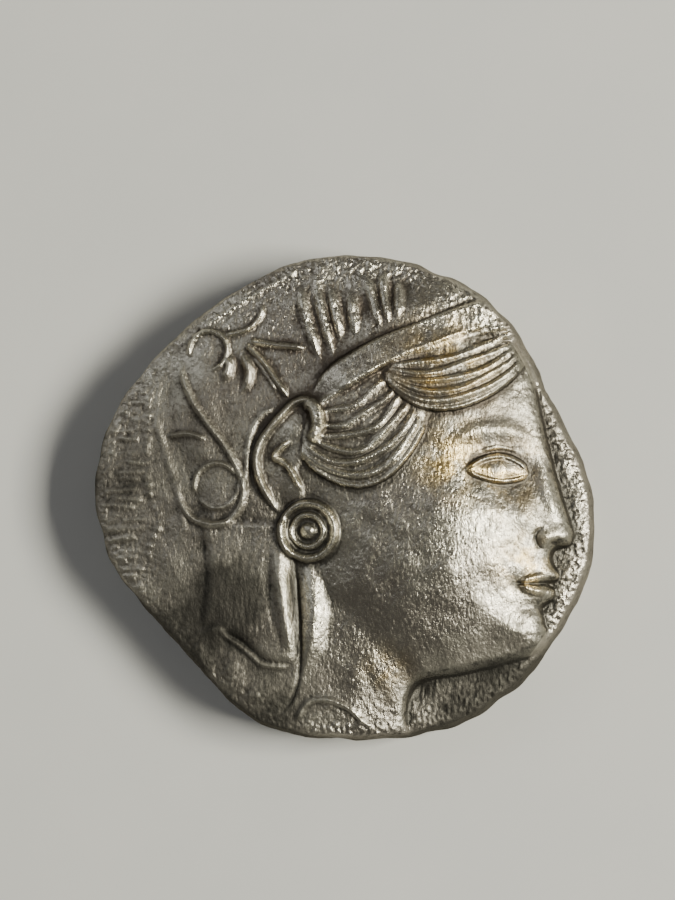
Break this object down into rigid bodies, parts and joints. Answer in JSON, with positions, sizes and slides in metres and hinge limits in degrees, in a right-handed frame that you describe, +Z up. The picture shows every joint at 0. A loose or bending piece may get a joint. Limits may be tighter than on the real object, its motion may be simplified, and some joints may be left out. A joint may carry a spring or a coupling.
{
  "type": "tetradrachm coin",
  "caption": "Thick hammered silver disc with an uneven edge, a helmeted head in relief on the front and an owl in a sunken square on the back.",
  "frame": {"origin": "under the middle of the coin's outline, on the surface it lies on", "axes": "+Z up through the coin's thickness, out of the side with the head; +X the way the head looks; +Y towards the top of the helmet"},
  "size_m": [0.0244, 0.0236, 0.0058],
  "materials": {
    "silver": "worn silver with dark toning in the hollows"
  },
  "bodies": {
    "root": {"coin": "silver"}
  },
  "joints": []
}
